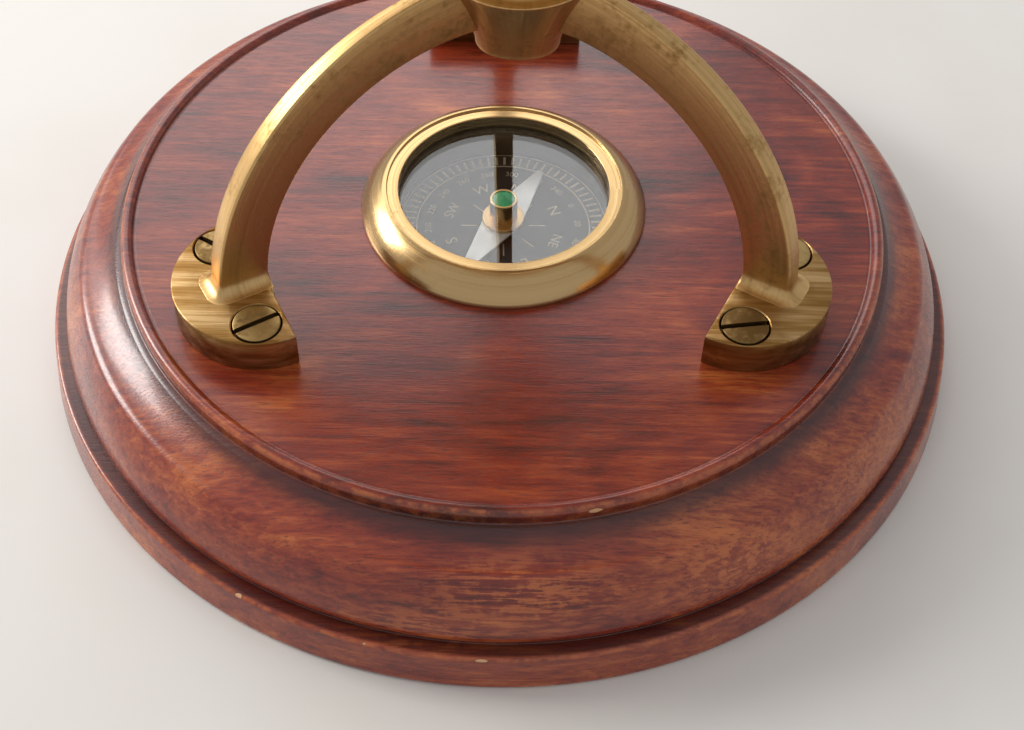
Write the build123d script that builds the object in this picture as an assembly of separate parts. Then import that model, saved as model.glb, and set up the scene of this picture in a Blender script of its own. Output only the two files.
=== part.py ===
from build123d import *
from math import atan2, cos, degrees, hypot, pi, radians, sin
import os

# A desk armillary sphere, in millimetres.
# The origin is the centre of the base's underside, +Z points up and -Y is the front.
# A turned wooden base holds a compass. A cast three-legged bracket stands astride the compass
# and carries a stem. A cradle swivels on the stem, a meridian ring tilts in the cradle, and a
# cage of rings spins in the meridian ring on the polar axis.

# Clearances between neighbouring pieces
run_gap = 0.05
slip_gap = 0.15
moving_gap = 0.4
strip_gap = 0.05
band_gap = 0.07

# Turned base: radii and heights of its mouldings, from the floor up
floor_radius = 75.0
arris_radius = 74.0
arris_height = 6.6
arris_edge = 0.5
bulge_radius = 71.8
bulge_height = 8.0
bulge_tuck = 0.4
bulge_via = (70.8, 12.3)
crest_radius = 68.5
crest_height = 16.4
crest_via = (67.8, 17.2)
crest_inside = (66.6, 17.7)
cove_via = (64.1, 18.8)
cove_radius = 61.8
cove_height = 20.5
bead_radius = 60.8
bead_foot = 0.4
bead_side = 0.5
bead_quirk = 0.2
bead_apron = 0.5
bead_width = 1.9
bead_rise = 0.7
top_height = 22.5
felt_radius = 69.0
felt_thickness = 1.0

# Compass let into the base
bezel_radius = 22.85
bezel_height = 4.3
bezel_foot = 0.5
bezel_via = (21.3, 25.2)
rim_radius = 19.1
rim_width = 0.45
sill_drop = 0.35
sight_radius = 16.8
glass_radius = 17.55
glass_thickness = 1.1
glass_drop = 2.0
bowl_radius = 18.5
bowl_wall = 0.9
bowl_floor = 15.0
dial_top = 17.2
dial_thickness = 0.8
needle_length = 26.0
needle_width = 6.4
needle_tip_width = 1.2
needle_thickness = 0.35
needle_bottom = 18.4
needle_heading = 62.0
hub_flange_radius = 3.4
hub_flange_thickness = 0.6
hub_radius = 2.25
hub_top = 23.3
hub_bore_radius = 1.1
hub_bore_top = 21.8
hub_bore_cone = 0.6
enamel_radius = 1.85
enamel_depth = 0.25
pivot_radius = 1.6
pivot_neck_radius = 0.6
pivot_neck_rise = 0.4
pivot_cone = 1.4
pivot_tip_radius = 0.08
pivot_point_gap = 0.1

# Three-legged bracket: half-round feet, arched legs and a flared boss
# Each arm: its foot's angle and distance from the compass, the way the foot faces, and the leg's angle
arms = ((-30.0, 41.8, -27.0, -27.9), (90.6, 41.8, 90.6, 90.6), (212.1, 42.4, 206.4, 210.8))
foot_radius = 13.3
foot_thickness = 5.8
foot_chord = -0.6
foot_edge = 0.25
leg_distance = 41.8
leg_foot_thickness = 3.9
leg_boss_thickness = 1.5
leg_outer_foot = 7.3
leg_inner_foot = -0.35
leg_root = 2.0
leg_root_share = 0.75
boss_shift = 1.5
boss_top = 69.8
boss_top_radius = 11.6
boss_height = 13.4
boss_bottom_radius = 6.1
boss_bottom_edge = 0.6
boss_via = (7.5, 0.6)
boss_bore_radius = 3.0
boss_bore_depth = 9.0

# The legs' two arcs: where each ends below the boss's top, and the point it passes through, both as
# shares of its reach, with its height there as a share of its rise above the foot
arch_outer_drop = 0.1
arch_outer_end = 0.1
arch_outer_via = (0.75, 0.683)
arch_inner_drop = 9.6
arch_inner_end = 0.24
arch_inner_via = (0.77, 0.693)

# Slotted wood screws, a pair in each foot
screw_reach = 3.75
screw_half_spacing = 8.5
screw_head_radius = 3.5
screw_head_edge = 0.9
screw_head_cone = 1.9
screw_head_proud = 0.25
screw_seat_gap = 0.25
screw_shank_radius = 1.7
screw_length = 16.0
screw_taper = 4.0
screw_point_radius = 0.3
screw_slot_width = 0.9
screw_slot_depth = 0.9
screw_slot_angles = ((8.6, 70.0), (20.0, 110.0), (-31.0, 38.6))

# Stem, swivel and cradle
stem_flange_radius = 10.6
stem_flange_edge = 1.4
stem_flange_via = (5.7, 2.8)
stem_neck_radius = 3.6
stem_neck_top = 6.9
stem_collar_radius = 4.6
stem_collar_height = 1.0
stem_knop_radius = 7.4
stem_knop_height = 11.5
stem_knop_half = 4.2
stem_pad_radius = 6.6
stem_pad_edge = 1.8
stem_pad_cone = 3.6
stem_top = 92.0
spindle_radius = 2.6
spindle_length = 7.5
spindle_chamfer = 0.5
groove_depth = 0.7
groove_half_width = 1.6
socket_radius = 7.6
socket_height = 9.5
socket_chamfer = 1.4
socket_shoulder = 3.0
socket_shoulder_via = (1.6, 1.6)
socket_crown = 2.6
thumb_radius = 3.2
thumb_length = 4.0
thumb_edge = 0.5
thumb_stand_off = 1.0
thumb_shank_radius = 1.2
cradle_gap = 3.6
cradle_thickness = 2.4
cradle_width = 7.0
cradle_pad_radius = 4.6
cradle_pad_height = 5.0
saddle_length = 12.0
saddle_width = 7.4
saddle_grip = 4.4
saddle_edge = 0.6

# Horizon ring round the sphere: how far it laps inside the meridian's rim and outside the cradle
horizon_lap = 2.0
horizon_margin = 4.0
horizon_thickness = 2.2
horizon_screw_radius = 1.4
horizon_screw_head = 2.8
horizon_screw_head_height = 1.2
horizon_screw_slot = 0.7
horizon_edge = 0.3

# Meridian ring, its pole bosses and bushes
meridian_gap = 4.0
meridian_width = 5.0
meridian_thickness = 2.4
pole_boss_radius = 3.4
pole_boss_rise = 1.2
pole_pad_rise = 0.2
bush_radius = 2.1
bush_flange_radius = 2.9
bush_flange = 0.5

# Polar axis and what it carries
axis_tilt = 40.0
rod_radius = 1.2
rod_end = 3.4
nut_radius = 3.0
nut_height = 2.6
collar_radius = 2.8
collar_height = 3.0
arrow_length = 17.0
arrow_radius = 5.2
arrow_barb = 2.6
arrow_stand_off = 1.4
arrow_sleeve_wall = 0.8
arrow_point_radius = 0.25
feather_length = 18.0
feather_width = 5.4
feather_thickness = 1.0
feather_slope = 4.0
feather_stand_off = 1.0
globe_radius = 10.0

# Cage of rings, as distances from the centre of the sphere
obliquity = 23.44
cage_radius = 49.0
cage_thickness = 1.2
strip_thickness = 1.2
colure_width = 4.2
equator_width = 5.0
tropic_width = 3.2
polar_circle_width = 3.0
ecliptic_width = 11.0
ecliptic_thickness = 1.0

# Worked out from the dimensions above
foot_top = top_height + foot_thickness
boss_bottom = boss_top - boss_height
glass_top = top_height + bezel_height - sill_drop - glass_drop
glass_bottom = glass_top - glass_thickness
cage_inner = cage_radius - cage_thickness
meridian_inner = cage_radius + meridian_gap
meridian_outer = meridian_inner + meridian_width
cradle_radius = meridian_outer + cradle_gap
horizon_inner = meridian_outer - horizon_lap
horizon_outer = cradle_radius + cradle_thickness + horizon_margin
pole_face = meridian_outer + pole_boss_rise
collar_seat = pole_face + moving_gap
rod_reach = collar_seat + collar_height + rod_end
socket_top = stem_top + socket_height
centre_height = socket_top + cradle_radius + cradle_thickness
polar_latitude = 90 - obliquity
strip_inner = cage_radius + strip_gap
strip_radius = strip_inner + strip_thickness
ecliptic_inner = strip_radius + band_gap
ecliptic_radius = ecliptic_inner + ecliptic_thickness
stand = Pos(boss_shift, 0, 0)
centre = Pos(boss_shift, 0, centre_height)
polar = centre * Rot(0, axis_tilt, 0)
low = (Align.CENTER, Align.CENTER, Align.MIN)


def upright(point):
    """Puts a point given as radius and height on the vertical plane through X."""
    return (point[0], 0, point[1])


def outline(start, *steps):
    """Makes a closed face: a step is a corner, or a via point and a corner where the edge is round."""
    edges = []
    here = start
    for step in (*steps, start):
        if isinstance(step[0], tuple):
            via, there = step
            edges.append(ThreePointArc(upright(here), upright(via), upright(there)))
        else:
            there = step
            edges.append(Line(upright(here), upright(there)))
        here = there
    return make_face(edges)


def turned(start, *steps):
    """Turns an outline of radii and heights about the vertical."""
    return revolve(outline(start, *steps), Axis.Z)


def drum(radius, bottom, top):
    """A plain round bar between two heights."""
    return Pos(0, 0, bottom) * Cylinder(radius, top - bottom, align=low)


def hoop(inner, outer, width):
    """A flat ring centred on the origin, with its axis upright."""
    return Cylinder(outer, width) - Cylinder(inner, width)


def around(distance, angle, height=0.0):
    """A place at a distance and a compass-wise angle from the upright axis, turned to face outward."""
    return Rot(0, 0, angle) * Pos(distance, 0, height)


def base_moulding():
    """The turned wooden base, with the compass recess, the felt recess and the screws' pilot holes."""
    bead_inner = bead_radius - bead_width
    bead_crown = (bead_radius - bead_width / 2, top_height + bead_rise)
    body = turned(
        (0, felt_thickness),
        (felt_radius, felt_thickness),
        (felt_radius, 0),
        (floor_radius - arris_edge, 0),
        (floor_radius, arris_edge),
        (arris_radius, arris_height - arris_edge),
        (arris_radius - arris_edge, arris_height),
        (bulge_radius - bulge_tuck, arris_height),
        (bulge_radius, bulge_height),
        (bulge_via, (crest_radius, crest_height)),
        (crest_via, crest_inside),
        (cove_via, (cove_radius, cove_height)),
        (bead_radius, cove_height + bead_foot),
        (bead_radius, top_height - bead_side),
        (bead_crown, (bead_inner, top_height - bead_quirk)),
        (bead_inner - bead_apron, top_height),
        (bowl_radius, top_height),
        (bowl_radius, bowl_floor),
        (0, bowl_floor),
    )
    for place, _ in screw_places():
        body -= place * wood_screw()
    return body


def base_felt():
    """The felt disc glued into the underside."""
    return drum(felt_radius, 0, felt_thickness)


def compass_bowl():
    """The cup that holds the dial, sunk flush with the top of the base."""
    inside = bowl_radius - bowl_wall
    floor = dial_top - dial_thickness
    return turned(
        (0, bowl_floor),
        (bowl_radius, bowl_floor),
        (bowl_radius, top_height),
        (inside, top_height),
        (inside, floor),
        (0, floor),
    )


def compass_dial():
    """The flat card under the needle, pierced for the pivot."""
    card = drum(bowl_radius - bowl_wall, dial_top - dial_thickness, dial_top)
    return card - drum(pivot_radius, dial_top - dial_thickness, dial_top)


def compass_pivot():
    """The pointed post that the needle's hub rides on."""
    point = hub_bore_top - pivot_point_gap
    foot = dial_top - dial_thickness
    return turned(
        (0, foot),
        (pivot_radius, foot),
        (pivot_radius, dial_top),
        (pivot_neck_radius, dial_top + pivot_neck_rise),
        (pivot_neck_radius, point - pivot_cone),
        (pivot_tip_radius, point),
        (0, point),
    )


def compass_bezel():
    """The sloping ring round the glass: outer slope, narrow rim, shallow sill, inner wall and glass seat."""
    rim_top = top_height + bezel_height
    sill = rim_top - sill_drop
    return turned(
        (bowl_radius - bowl_wall, top_height),
        (bezel_radius, top_height),
        (bezel_radius, top_height + bezel_foot),
        (bezel_via, (rim_radius, rim_top)),
        (rim_radius - rim_width, rim_top),
        (rim_radius - rim_width, sill),
        (sight_radius, sill),
        (sight_radius, glass_top),
        (glass_radius, glass_top),
        (glass_radius, top_height),
    )


def compass_glass():
    """The flat window."""
    return drum(glass_radius, glass_bottom, glass_top)


def compass_retainer():
    """The spring ring that holds the glass up against its seat."""
    return drum(glass_radius, top_height, glass_bottom) - drum(sight_radius, top_height, glass_bottom)


def needle_blade():
    """The lozenge-shaped needle, bored to fit the hub."""
    half, wide, tip = needle_length / 2, needle_width / 2, needle_tip_width / 2
    corners = [(half, -tip), (half, tip), (0, wide), (-half, tip), (-half, -tip), (0, -wide)]
    blade = extrude(make_face(Polyline(*corners, close=True)), needle_thickness)
    blade = Pos(0, 0, needle_bottom) * Rot(0, 0, needle_heading) * blade
    return blade - drum(hub_bore_radius, needle_bottom, needle_bottom + needle_thickness)


def needle_hub():
    """The stepped hub on the needle, bored blind from below and dished on top for the enamel."""
    step = needle_bottom + needle_thickness
    return turned(
        (hub_bore_radius, step),
        (hub_flange_radius, step),
        (hub_flange_radius, step + hub_flange_thickness),
        (hub_radius, step + hub_flange_thickness),
        (hub_radius, hub_top),
        (enamel_radius, hub_top),
        (enamel_radius, hub_top - enamel_depth),
        (0, hub_top - enamel_depth),
        (0, hub_bore_top),
        (hub_bore_radius, hub_bore_top - hub_bore_cone),
    )


def hub_enamel():
    """The enamel disc let into the top of the hub."""
    return drum(enamel_radius, hub_top - enamel_depth, hub_top)


def screw_places():
    """Yields where each wood screw enters the base, with its slot's heading, at the foot's underside."""
    for arm, headings in zip(arms, screw_slot_angles):
        for side, heading in zip((-1, 1), headings):
            spot = (foot_place(arm) * Pos(screw_reach, side * screw_half_spacing, 0)).position
            yield Pos(spot), heading


def wood_screw(grow=0.0):
    """A countersunk screw about its entry point; grow widens the head all round to make its seat."""
    head_top = foot_thickness + screw_head_proud
    edge = head_top - screw_head_edge
    cone_foot = edge - screw_head_cone
    radius = screw_head_radius + grow
    return turned(
        (0, -screw_length),
        (screw_point_radius, -screw_length),
        (screw_shank_radius, screw_taper - screw_length),
        (screw_shank_radius, cone_foot),
        (radius, edge),
        (radius, head_top),
        (0, head_top),
    )


def foot_screws():
    """The six slotted screws that hold the bracket down."""
    screws = []
    for place, heading in screw_places():
        slot = Box(3 * screw_head_radius, screw_slot_width, 2 * screw_slot_depth)
        slot = Pos(0, 0, foot_thickness + screw_head_proud) * Rot(0, 0, heading) * slot
        screws.append(place * (wood_screw() - slot))
    return Compound(children=screws)


def foot_place(arm):
    """Where an arm's foot stands: the middle of its round edge's circle, facing the way the foot does."""
    angle, distance, facing, _ = arm
    spot = (Rot(0, 0, angle) * Pos(distance, 0, top_height)).position
    return Pos(spot) * Rot(0, 0, facing)


def bracket_foot():
    """One half-round foot, straight towards the compass, with a softened upper edge."""
    disc = chamfer(drum(foot_radius, 0, foot_thickness).edges().group_by(Axis.Z)[-1], foot_edge)
    half = Box(2 * foot_radius, 2 * foot_radius, 2 * foot_thickness)
    return disc & Pos(foot_chord + foot_radius, 0, 0) * half


def arch_point(reach, share, height, top):
    """A point of a leg's arc from shares of its reach and of its rise from the foot to its upper end."""
    return (share * reach, foot_top + height * (top - foot_top))


def bracket_leg(reach):
    """One arched leg in the XZ plane, from the boss's axis out to this reach, thinner towards the boss."""
    outer, inner = reach + leg_outer_foot, reach + leg_inner_foot
    outer_top, inner_top = boss_top - arch_outer_drop, boss_top - arch_inner_drop
    low_end = top_height + foot_thickness / 2
    shape = outline(
        (0, inner_top),
        (arch_inner_end * inner, inner_top),
        (arch_point(inner, *arch_inner_via, inner_top), (inner, foot_top)),
        (inner, low_end),
        (outer, low_end),
        (outer, foot_top),
        (arch_point(outer, *arch_outer_via, outer_top), (arch_outer_end * outer, outer_top)),
        (0, outer_top),
    )
    wide, thin = leg_foot_thickness / 2, leg_boss_thickness / 2
    plan = make_face(Polyline((0, -thin), (outer, -wide), (outer, wide), (0, thin), close=True))
    return extrude(shape, wide, both=True) & extrude(plan, boss_top)


def bracket_arm(arm):
    """A foot with its leg, rounded where the leg's two sides and its outer face stand on the foot."""
    leg_foot = (Rot(0, 0, arm[-1]) * Pos(leg_distance, 0, 0)).position - Vector(boss_shift, 0, 0)
    heading = Rot(0, 0, degrees(atan2(leg_foot.Y, leg_foot.X)))
    reach = hypot(leg_foot.X, leg_foot.Y)
    solid = stand * heading * bracket_leg(reach) + foot_place(arm) * bracket_foot()
    heel = (stand * heading * Pos(reach + leg_outer_foot, 0, foot_top)).position
    edges = solid.edges().filter_by(GeomType.LINE).group_by(lambda e: abs(e.center().Z - foot_top))[0]
    edges = edges.filter_by(lambda e: (e.center() - heel).length < leg_root_share * leg_outer_foot)
    return fillet(edges, leg_root)


def tripod_bracket():
    """The one-piece casting: three feet, three arched legs and the flared boss that takes the stem."""
    casting = stand * turned(
        (0, boss_bottom),
        (boss_bottom_radius - boss_bottom_edge, boss_bottom),
        (boss_bottom_radius, boss_bottom + boss_bottom_edge),
        ((boss_via[0], boss_top - boss_via[1] * boss_height), (boss_top_radius, boss_top)),
        (0, boss_top),
    )
    for arm in arms:
        casting += bracket_arm(arm)
    casting -= stand * drum(boss_bore_radius, boss_top - boss_bore_depth, boss_top)
    for place, _ in screw_places():
        casting -= place * wood_screw(screw_seat_gap)
    return casting


def stem():
    """The turned stem: a stud down into the boss, a knop, a pad and the spindle that the cradle turns on."""
    neck_top = boss_top + stem_neck_top
    knop = boss_top + stem_knop_height
    groove = stem_top + spindle_length / 2
    groove_radius = spindle_radius - groove_depth
    spindle_top = stem_top + spindle_length
    return stand * turned(
        (0, boss_top - boss_bore_depth),
        (boss_bore_radius, boss_top - boss_bore_depth),
        (boss_bore_radius, boss_top),
        (stem_flange_radius, boss_top),
        (stem_flange_radius, boss_top + stem_flange_edge),
        ((stem_flange_via[0], boss_top + stem_flange_via[1]), (stem_neck_radius, neck_top)),
        (stem_collar_radius, neck_top),
        (stem_collar_radius, neck_top + stem_collar_height),
        ((stem_knop_radius, knop), (stem_neck_radius, knop + stem_knop_half)),
        (stem_neck_radius, stem_top - stem_pad_cone),
        (stem_pad_radius, stem_top - stem_pad_edge),
        (stem_pad_radius, stem_top),
        (spindle_radius, stem_top),
        (spindle_radius, groove - groove_half_width),
        (groove_radius, groove - groove_half_width),
        (groove_radius, groove + groove_half_width),
        (spindle_radius, groove + groove_half_width),
        (spindle_radius, spindle_top - spindle_chamfer),
        (spindle_radius - spindle_chamfer, spindle_top),
        (0, spindle_top),
    )


def cradle_socket():
    """The collar that turns on the stem's spindle, with a side hole for its retaining screw."""
    bottom = stem_top + run_gap
    bore = spindle_radius + run_gap
    ceiling = stem_top + spindle_length + moving_gap
    shoulder_via = (socket_radius - socket_shoulder_via[0] / 2, socket_top - socket_shoulder_via[1] / 2)
    collar = turned(
        (bore, bottom),
        (socket_radius - socket_chamfer, bottom),
        (socket_radius, bottom + socket_chamfer),
        (socket_radius, socket_top - socket_shoulder),
        (shoulder_via, (socket_radius - socket_crown, socket_top)),
        (0, socket_top),
        (0, ceiling),
        (bore, ceiling),
    )
    return stand * (collar - swivel_place() * drum(thumb_shank_radius, -socket_radius, socket_radius))


def swivel_place():
    """Where the swivel screw enters the collar, its axis pointing out to the back."""
    return Pos(0, spindle_radius, stem_top + spindle_length / 2) * Rot(-90, 0, 0)


def swivel_screw():
    """The thumb screw whose plain end runs in the spindle's groove and keeps the cradle on."""
    head = socket_radius - spindle_radius + thumb_stand_off
    screw = drum(thumb_shank_radius, moving_gap - groove_depth, head)
    knob = drum(thumb_radius, head, head + thumb_length)
    screw += chamfer(knob.edges().filter_by(GeomType.CIRCLE), thumb_edge)
    return stand * swivel_place() * screw


def cradle():
    """The half ring under the sphere, flat-bottomed where it sits on the collar, with an eye at each end."""
    outer = cradle_radius + cradle_thickness
    ring = Rot(0, 90, 0) * hoop(cradle_radius, outer, cradle_width)
    ring &= Pos(0, 0, -outer) * Box(cradle_width, 3 * outer, 2 * outer - horizon_thickness)
    middle = (cradle_radius + outer) / 2
    for side in (-1, 1):
        pad_bottom = -horizon_thickness / 2 - cradle_pad_height
        eye = Pos(0, side * middle, 0) * drum(cradle_pad_radius, pad_bottom, -horizon_thickness / 2)
        ring += eye
        ring -= Pos(0, side * middle, 0) * drum(horizon_screw_radius, pad_bottom, 0)
    flat = Box(2 * socket_radius, 3 * socket_radius, 2 * cradle_thickness)
    return centre * (ring - Pos(0, 0, -outer - cradle_thickness) * flat)


def meridian_track(radius_gap, side_gap):
    """The space that the meridian ring sweeps, grown by a gap at its rim and at its sides."""
    disc = Cylinder(meridian_outer + radius_gap, meridian_thickness + 2 * side_gap)
    return Rot(90, 0, 0) * disc


def meridian_saddle():
    """The slotted block at the bottom of the cradle that the meridian ring rests and slides in."""
    depth = cradle_radius - meridian_outer + saddle_grip
    block = Pos(0, 0, -cradle_radius) * Box(saddle_length, saddle_width, depth, align=low)
    block = chamfer(block.edges().group_by(Axis.Z)[-1], saddle_edge)
    block &= Rot(0, 90, 0) * Cylinder(cradle_radius, 2 * saddle_length)
    return centre * (block - meridian_track(run_gap, slip_gap))


def horizon_ring():
    """The broad flat ring level with the centre, notched where the meridian ring passes through it."""
    ring = hoop(horizon_inner, horizon_outer, horizon_thickness)
    ring = chamfer(ring.edges().filter_by(GeomType.CIRCLE), horizon_edge)
    ring -= meridian_track(moving_gap, slip_gap)
    for place in horizon_screw_places():
        ring -= place * drum(horizon_screw_radius, -horizon_thickness, horizon_thickness)
    return centre * ring


def horizon_screw_places():
    """The two places, left and right of the meridian, where the horizon ring is screwed to the cradle."""
    return [Pos(0, side * (cradle_radius + cradle_thickness / 2), 0) for side in (-1, 1)]


def horizon_screws():
    """The pair of slotted round-head screws through the horizon ring into the cradle's eyes."""
    top = horizon_thickness / 2
    dome_via = (horizon_screw_head * cos(pi / 4), top + horizon_screw_head_height * sin(pi / 4))
    screw = turned(
        (0, -top - cradle_pad_height),
        (horizon_screw_radius, -top - cradle_pad_height),
        (horizon_screw_radius, top),
        (horizon_screw_head, top),
        (dome_via, (0, top + horizon_screw_head_height)),
    )
    slot = Box(3 * horizon_screw_head, horizon_screw_slot, horizon_screw_head_height)
    slot = Pos(0, 0, top + horizon_screw_head_height) * slot
    return centre * Compound(children=[place * (screw - slot) for place in horizon_screw_places()])


def pole_sides():
    """The two poles of the polar axis: the north end and, turned over, the south end."""
    return (Rot(0, 0, 0), Rot(180, 0, 0))


def meridian_ring():
    """The upright ring, with a bored boss at each pole."""
    ring = Rot(90, 0, 0) * hoop(meridian_inner, meridian_outer, meridian_thickness)
    for side in pole_sides():
        ring += side * drum(pole_boss_radius, meridian_inner - pole_pad_rise, pole_face)
    for side in pole_sides():
        ring -= side * drum(bush_radius, 0.5 * meridian_inner, 2 * meridian_outer)
    return polar * ring


def pole_bushes():
    """The flanged bushes in the meridian ring that the polar rod turns in."""
    bore = rod_radius + run_gap
    seat = meridian_inner - pole_pad_rise
    bush = turned(
        (bore, seat - bush_flange),
        (bush_flange_radius, seat - bush_flange),
        (bush_flange_radius, seat),
        (bush_radius, seat),
        (bush_radius, pole_face),
        (bore, pole_face),
    )
    return polar * Compound(children=[side * bush for side in pole_sides()])


def colure_half_lap():
    """The inner half of the strip where the two colures cross at the poles."""
    middle = cage_inner + strip_thickness / 2
    laps = Part()
    for side in pole_sides():
        laps += side * Box(colure_width, colure_width, middle, align=low)
    return laps


def pole_bores():
    """The holes for the polar rod through whatever crosses it."""
    return Cylinder(rod_radius, 4 * cage_radius)


def solstitial_colure():
    """The full ring through both poles and the solstices; it keeps its outer half at the poles."""
    ring = Rot(90, 0, 0) * hoop(cage_inner, cage_radius, colure_width)
    return polar * (ring - colure_half_lap() - pole_bores())


def equinoctial_colure():
    """The full ring through both poles and the equinoxes; it passes inside the other one at the poles."""
    ring = Rot(0, 90, 0) * hoop(cage_inner, cage_radius, colure_width)
    crossing = Box(colure_width, colure_width, 4 * cage_radius) - colure_half_lap()
    return polar * (ring - crossing - pole_bores())


def strip_circle(latitude, width):
    """A strip ring round the polar axis at a latitude, laid on the outside of the colures."""
    turn = radians(latitude)
    along, across = (cos(turn), sin(turn)), (-sin(turn), cos(turn))
    corners = []
    for distance, offset in ((strip_inner, -1), (strip_radius, -1), (strip_radius, 1), (strip_inner, 1)):
        corners.append(tuple(distance * a + offset * width / 2 * c for a, c in zip(along, across)))
    return polar * turned(*corners)


def ecliptic_band():
    """The broad band along the sun's yearly path, laid over the equator and both tropics."""
    return polar * Rot(0, -obliquity, 0) * hoop(ecliptic_inner, ecliptic_radius, ecliptic_width)


def polar_rod():
    """The rod on the polar axis."""
    return polar * drum(rod_radius, -rod_reach, rod_reach)


def pole_nuts():
    """The round nuts that clamp the colures to the rod just inside the meridian ring."""
    nut = drum(nut_radius, cage_radius, cage_radius + nut_height) - Cylinder(rod_radius, 4 * cage_radius)
    return polar * Compound(children=[side * nut for side in pole_sides()])


def rod_collars():
    """The set collars that keep the rod from sliding in its bushes."""
    collar = drum(collar_radius, collar_seat, collar_seat + collar_height) - drum(rod_radius, 0, rod_reach)
    return polar * Compound(children=[side * collar for side in pole_sides()])


def arrow_head():
    """The barbed point on the rod's north end."""
    seat = collar_seat + collar_height + arrow_stand_off
    sleeve = rod_radius + arrow_sleeve_wall
    head = turned(
        (rod_radius, seat),
        (sleeve, seat),
        (sleeve, seat + arrow_barb),
        (arrow_radius, seat),
        (arrow_point_radius, seat + arrow_length),
        (0, seat + arrow_length),
        (0, rod_reach),
        (rod_radius, rod_reach),
    )
    return polar * head


def arrow_feather():
    """The four-vaned tail on the rod's south end."""
    seat = collar_seat + collar_height + feather_stand_off
    end = seat + feather_length
    tail = drum(rod_radius + arrow_sleeve_wall, seat, end - feather_slope)
    edge = feather_width, end - feather_slope
    vane = outline((0, seat + feather_slope), (feather_width, seat), edge, (0, end))
    vane = extrude(vane, feather_thickness / 2, both=True)
    for angle in (0, 90, 180, 270):
        tail += Rot(0, 0, angle) * vane
    tail -= drum(rod_radius, 0, rod_reach)
    return polar * Rot(180, 0, 0) * tail


def earth_globe():
    """The ball at the centre of the sphere."""
    return polar * (Sphere(globe_radius) - Cylinder(rod_radius, 4 * globe_radius))


nodes = {
    "base_moulding": base_moulding,
    "base_felt": base_felt,
    "compass_bowl": compass_bowl,
    "compass_dial": compass_dial,
    "compass_pivot": compass_pivot,
    "compass_bezel": compass_bezel,
    "compass_glass": compass_glass,
    "compass_retainer": compass_retainer,
    "tripod_bracket": tripod_bracket,
    "foot_screws": foot_screws,
    "stem": stem,
    "needle_blade": needle_blade,
    "needle_hub": needle_hub,
    "hub_enamel": hub_enamel,
    "cradle_socket": cradle_socket,
    "swivel_screw": swivel_screw,
    "cradle": cradle,
    "meridian_saddle": meridian_saddle,
    "horizon_ring": horizon_ring,
    "horizon_screws": horizon_screws,
    "meridian_ring": meridian_ring,
    "pole_bushes": pole_bushes,
    "solstitial_colure": solstitial_colure,
    "equinoctial_colure": equinoctial_colure,
    "equator_ring": lambda: strip_circle(0, equator_width),
    "tropic_ring_north": lambda: strip_circle(obliquity, tropic_width),
    "tropic_ring_south": lambda: strip_circle(-obliquity, tropic_width),
    "polar_circle_north": lambda: strip_circle(polar_latitude, polar_circle_width),
    "polar_circle_south": lambda: strip_circle(-polar_latitude, polar_circle_width),
    "ecliptic_band": ecliptic_band,
    "polar_rod": polar_rod,
    "pole_nuts": pole_nuts,
    "rod_collars": rod_collars,
    "arrow_head": arrow_head,
    "arrow_feather": arrow_feather,
    "earth_globe": earth_globe,
}

os.makedirs("parts", exist_ok=True)
for name, build in nodes.items():
    shape = build()
    export_step(shape, f"parts/{name}.step")
    print(name, round(shape.volume, 1))
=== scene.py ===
import logging
from dataclasses import dataclass, field
from enum import Enum

import bpy
import numpy as np
from mathutils import Matrix, Vector


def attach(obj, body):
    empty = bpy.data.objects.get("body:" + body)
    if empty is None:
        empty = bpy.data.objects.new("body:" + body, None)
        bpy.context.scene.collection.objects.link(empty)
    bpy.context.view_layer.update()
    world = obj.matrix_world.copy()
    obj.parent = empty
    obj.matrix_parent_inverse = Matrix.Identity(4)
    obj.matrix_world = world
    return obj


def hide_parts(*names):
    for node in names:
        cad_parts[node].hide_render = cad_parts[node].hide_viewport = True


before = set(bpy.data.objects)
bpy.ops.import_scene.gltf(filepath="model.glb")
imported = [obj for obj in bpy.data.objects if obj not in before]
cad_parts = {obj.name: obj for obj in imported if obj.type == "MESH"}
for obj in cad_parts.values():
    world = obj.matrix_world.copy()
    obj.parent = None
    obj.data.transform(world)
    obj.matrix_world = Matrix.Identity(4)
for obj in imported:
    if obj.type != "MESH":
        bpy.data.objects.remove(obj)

log = logging.getLogger("armillary_sphere")
MM = 0.001
TAU = 2 * np.pi
Socket = bpy.types.NodeSocket


# Shape helpers, in millimetres until a mesh is made

def turn_about(axis: str, degrees: float) -> np.ndarray:
    """A 4 by 4 turn about X, Y or Z by the right-hand rule."""
    return np.array(Matrix.Rotation(np.radians(degrees), 4, axis))


def move_by(x: float, y: float, z: float) -> np.ndarray:
    """A 4 by 4 move, in millimetres."""
    return np.array(Matrix.Translation((x, y, z)))


def placed(points: np.ndarray, place: np.ndarray) -> np.ndarray:
    """The points after a 4 by 4 placement: rotation times point plus offset."""
    return points @ place[:3, :3].T + place[:3, 3]


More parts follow.
